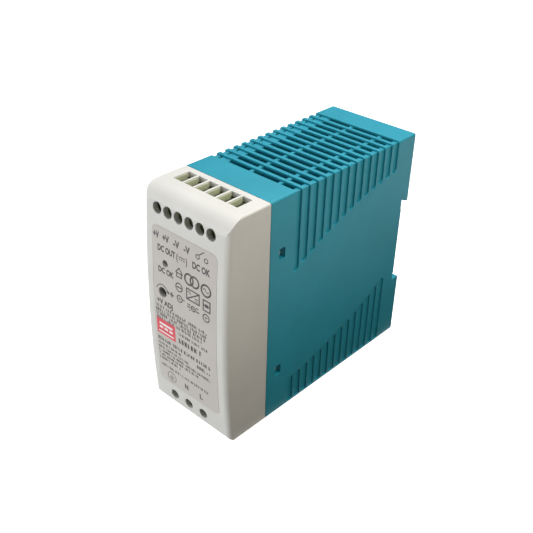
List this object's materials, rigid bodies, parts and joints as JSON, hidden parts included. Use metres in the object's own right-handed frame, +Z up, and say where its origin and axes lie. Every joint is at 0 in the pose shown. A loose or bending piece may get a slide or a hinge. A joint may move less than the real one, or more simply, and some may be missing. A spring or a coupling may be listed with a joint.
{
  "type": "rail-mounted power supply",
  "caption": "Slim AC to DC power supply for a 35 mm mounting rail: bowed front cover over rising-clamp screw terminals, ribbed vented rear case, sprung rail latch",
  "frame": {"origin": "centre of the flat face that seats on the mounting rail", "axes": "+X across the width along the rail, to the right seen from the front; +Y back towards the rail; +Z up. The front faces -Y"},
  "size_m": [0.04, 0.1, 0.09],
  "materials": {
    "case": "fine matt moulded plastic, blue-green",
    "front_cover": "fine matt moulded plastic, light grey",
    "front_label": "satin printed polyester film, warm grey",
    "output_terminal_housing": "moulded nylon, pale green",
    "input_terminal_housing": "moulded nylon, pale green",
    "output_contacts": "tinned brass",
    "input_contacts": "tinned brass",
    "front_board": "glass-fibre board, green solder mask",
    "main_board": "glass-fibre board, green solder mask",
    "board_header": "black plastic strip with tinned pins",
    "insulation_sheet": "insulating film, cream",
    "trimmer_body": "moulded plastic, blue",
    "trimmer_rotor": "moulded plastic, dark grey",
    "status_led": "tinted clear epoxy, green",
    "light_pipe": "clear moulded plastic",
    "rail_latch": "moulded acetal, off-white",
    "latch_spring": "drawn spring steel wire",
    "transformer_core": "sintered ferrite, matt dark grey",
    "transformer_bobbin": "phenolic moulding, black",
    "transformer_winding": "enamelled copper under yellow polyester tape",
    "bulk_capacitor": "aluminium can in a black shrink sleeve",
    "output_capacitors": "aluminium can in a dark blue shrink sleeve",
    "x_capacitor": "moulded box, yellow",
    "y_capacitors": "ceramic disc, blue lacquer",
    "choke_core": "sintered ferrite ring",
    "choke_winding": "enamelled copper wire",
    "inductor_core": "iron powder ring, yellow lacquer",
    "inductor_winding": "enamelled copper wire",
    "fuse": "glass tube with nickel-plated caps",
    "fuse_clips": "tinned spring brass",
    "thermistor": "ceramic disc, dark green lacquer",
    "bridge_rectifier": "epoxy moulding, black",
    "primary_heatsink": "pressed aluminium sheet",
    "primary_transistor": "epoxy moulding, black, tinned tab and leads",
    "secondary_heatsink": "pressed aluminium sheet",
    "output_rectifier": "epoxy moulding, black, tinned tab and leads",
    "heatsink_screws": "zinc-plated steel",
    "relay": "moulded plastic, off-white",
    "control_chips": "epoxy moulding, black, tinned leads",
    "optocouplers": "epoxy moulding, black, tinned leads",
    "output_screw_1": "zinc-plated steel",
    "output_clamp_1": "nickel-plated brass",
    "output_screw_2": "zinc-plated steel",
    "output_clamp_2": "nickel-plated brass",
    "output_screw_3": "zinc-plated steel",
    "output_clamp_3": "nickel-plated brass",
    "output_screw_4": "zinc-plated steel",
    "output_clamp_4": "nickel-plated brass",
    "output_screw_5": "zinc-plated steel",
    "output_clamp_5": "nickel-plated brass",
    "output_screw_6": "zinc-plated steel",
    "output_clamp_6": "nickel-plated brass",
    "input_screw_1": "zinc-plated steel",
    "input_clamp_1": "nickel-plated brass",
    "input_screw_2": "zinc-plated steel",
    "input_clamp_2": "nickel-plated brass",
    "input_screw_3": "zinc-plated steel",
    "input_clamp_3": "nickel-plated brass"
  },
  "bodies": {
    "housing": {"case": "case", "front_cover": "front_cover", "front_label": "front_label", "output_terminal_housing": "output_terminal_housing", "input_terminal_housing": "input_terminal_housing", "output_contacts": "output_contacts", "input_contacts": "input_contacts", "front_board": "front_board", "main_board": "main_board", "board_header": "board_header", "insulation_sheet": "insulation_sheet", "trimmer_body": "trimmer_body", "status_led": "status_led", "light_pipe": "light_pipe", "latch_spring": "latch_spring", "transformer_core": "transformer_core", "transformer_bobbin": "transformer_bobbin", "transformer_winding": "transformer_winding", "bulk_capacitor": "bulk_capacitor", "output_capacitors": "output_capacitors", "x_capacitor": "x_capacitor", "y_capacitors": "y_capacitors", "choke_core": "choke_core", "choke_winding": "choke_winding", "inductor_core": "inductor_core", "inductor_winding": "inductor_winding", "fuse": "fuse", "fuse_clips": "fuse_clips", "thermistor": "thermistor", "bridge_rectifier": "bridge_rectifier", "primary_heatsink": "primary_heatsink", "primary_transistor": "primary_transistor", "secondary_heatsink": "secondary_heatsink", "output_rectifier": "output_rectifier", "heatsink_screws": "heatsink_screws", "relay": "relay", "control_chips": "control_chips", "optocouplers": "optocouplers"},
    "output_screw_1_body": {"output_screw_1": "output_screw_1"},
    "output_clamp_1_body": {"output_clamp_1": "output_clamp_1"},
    "output_screw_2_body": {"output_screw_2": "output_screw_2"},
    "output_clamp_2_body": {"output_clamp_2": "output_clamp_2"},
    "output_screw_3_body": {"output_screw_3": "output_screw_3"},
    "output_clamp_3_body": {"output_clamp_3": "output_clamp_3"},
    "output_screw_4_body": {"output_screw_4": "output_screw_4"},
    "output_clamp_4_body": {"output_clamp_4": "output_clamp_4"},
    "output_screw_5_body": {"output_screw_5": "output_screw_5"},
    "output_clamp_5_body": {"output_clamp_5": "output_clamp_5"},
    "output_screw_6_body": {"output_screw_6": "output_screw_6"},
    "output_clamp_6_body": {"output_clamp_6": "output_clamp_6"},
    "input_screw_1_body": {"input_screw_1": "input_screw_1"},
    "input_clamp_1_body": {"input_clamp_1": "input_clamp_1"},
    "input_screw_2_body": {"input_screw_2": "input_screw_2"},
    "input_clamp_2_body": {"input_clamp_2": "input_clamp_2"},
    "input_screw_3_body": {"input_screw_3": "input_screw_3"},
    "input_clamp_3_body": {"input_clamp_3": "input_clamp_3"},
    "trimmer_rotor_body": {"trimmer_rotor": "trimmer_rotor"},
    "latch_body": {"rail_latch": "rail_latch"}
  },
  "joints": [
    {"name": "output_screw_1_turn", "type": "hinge", "parent": "housing", "child": "output_screw_1_body", "pos_m": [-0.0132, -0.0883, 0.0373], "axis": [0, 1, 0], "range_deg": [0, 2080]},
    {"name": "output_clamp_1_slide", "type": "slide", "parent": "housing", "child": "output_clamp_1_body", "axis": [0, -1, 0], "range_m": [0, 0.0026]},
    {"name": "output_screw_2_turn", "type": "hinge", "parent": "housing", "child": "output_screw_2_body", "pos_m": [-0.00812, -0.0883, 0.0373], "axis": [0, 1, 0], "range_deg": [0, 2080]},
    {"name": "output_clamp_2_slide", "type": "slide", "parent": "housing", "child": "output_clamp_2_body", "axis": [0, -1, 0], "range_m": [0, 0.0026]},
    {"name": "output_screw_3_turn", "type": "hinge", "parent": "housing", "child": "output_screw_3_body", "pos_m": [-0.00304, -0.0883, 0.0373], "axis": [0, 1, 0], "range_deg": [0, 2080]},
    {"name": "output_clamp_3_slide", "type": "slide", "parent": "housing", "child": "output_clamp_3_body", "axis": [0, -1, 0], "range_m": [0, 0.0026]},
    {"name": "output_screw_4_turn", "type": "hinge", "parent": "housing", "child": "output_screw_4_body", "pos_m": [0.00204, -0.0883, 0.0373], "axis": [0, 1, 0], "range_deg": [0, 2080]},
    {"name": "output_clamp_4_slide", "type": "slide", "parent": "housing", "child": "output_clamp_4_body", "axis": [0, -1, 0], "range_m": [0, 0.0026]},
    {"name": "output_screw_5_turn", "type": "hinge", "parent": "housing", "child": "output_screw_5_body", "pos_m": [0.00712, -0.0883, 0.0373], "axis": [0, 1, 0], "range_deg": [0, 2080]},
    {"name": "output_clamp_5_slide", "type": "slide", "parent": "housing", "child": "output_clamp_5_body", "axis": [0, -1, 0], "range_m": [0, 0.0026]},
    {"name": "output_screw_6_turn", "type": "hinge", "parent": "housing", "child": "output_screw_6_body", "pos_m": [0.0122, -0.0883, 0.0373], "axis": [0, 1, 0], "range_deg": [0, 2080]},
    {"name": "output_clamp_6_slide", "type": "slide", "parent": "housing", "child": "output_clamp_6_body", "axis": [0, -1, 0], "range_m": [0, 0.0026]},
    {"name": "input_screw_1_turn", "type": "hinge", "parent": "housing", "child": "input_screw_1_body", "pos_m": [-0.00852, -0.0883, -0.0395], "axis": [0, 1, 0], "range_deg": [0, 2080]},
    {"name": "input_clamp_1_slide", "type": "slide", "parent": "housing", "child": "input_clamp_1_body", "axis": [0, -1, 0], "range_m": [0, 0.0026]},
    {"name": "input_screw_2_turn", "type": "hinge", "parent": "housing", "child": "input_screw_2_body", "pos_m": [-0.0009, -0.0883, -0.0395], "axis": [0, 1, 0], "range_deg": [0, 2080]},
    {"name": "input_clamp_2_slide", "type": "slide", "parent": "housing", "child": "input_clamp_2_body", "axis": [0, -1, 0], "range_m": [0, 0.0026]},
    {"name": "input_screw_3_turn", "type": "hinge", "parent": "housing", "child": "input_screw_3_body", "pos_m": [0.00672, -0.0883, -0.0395], "axis": [0, 1, 0], "range_deg": [0, 2080]},
    {"name": "input_clamp_3_slide", "type": "slide", "parent": "housing", "child": "input_clamp_3_body", "axis": [0, -1, 0], "range_m": [0, 0.0026]},
    {"name": "trimmer_turn", "type": "hinge", "parent": "housing", "child": "trimmer_rotor_body", "pos_m": [-0.011, -0.0883, 0.0057], "axis": [0, 1, 0], "range_deg": [-135, 135]},
    {"name": "latch_slide", "type": "slide", "parent": "housing", "child": "latch_body", "axis": [0, 0, -1], "range_m": [0, 0.004], "stiffness_N_per_m": 800, "springref_m": -0.002, "deforming": ["latch_spring"]}
  ],
  "couplings": [
    {"joint": "output_screw_1_turn", "follows": "output_clamp_1_slide", "rad_per_m": 13963},
    {"joint": "output_screw_2_turn", "follows": "output_clamp_2_slide", "rad_per_m": 13963},
    {"joint": "output_screw_3_turn", "follows": "output_clamp_3_slide", "rad_per_m": 13963},
    {"joint": "output_screw_4_turn", "follows": "output_clamp_4_slide", "rad_per_m": 13963},
    {"joint": "output_screw_5_turn", "follows": "output_clamp_5_slide", "rad_per_m": 13963},
    {"joint": "output_screw_6_turn", "follows": "output_clamp_6_slide", "rad_per_m": 13963},
    {"joint": "input_screw_1_turn", "follows": "input_clamp_1_slide", "rad_per_m": 13963},
    {"joint": "input_screw_2_turn", "follows": "input_clamp_2_slide", "rad_per_m": 13963},
    {"joint": "input_screw_3_turn", "follows": "input_clamp_3_slide", "rad_per_m": 13963}
  ]
}
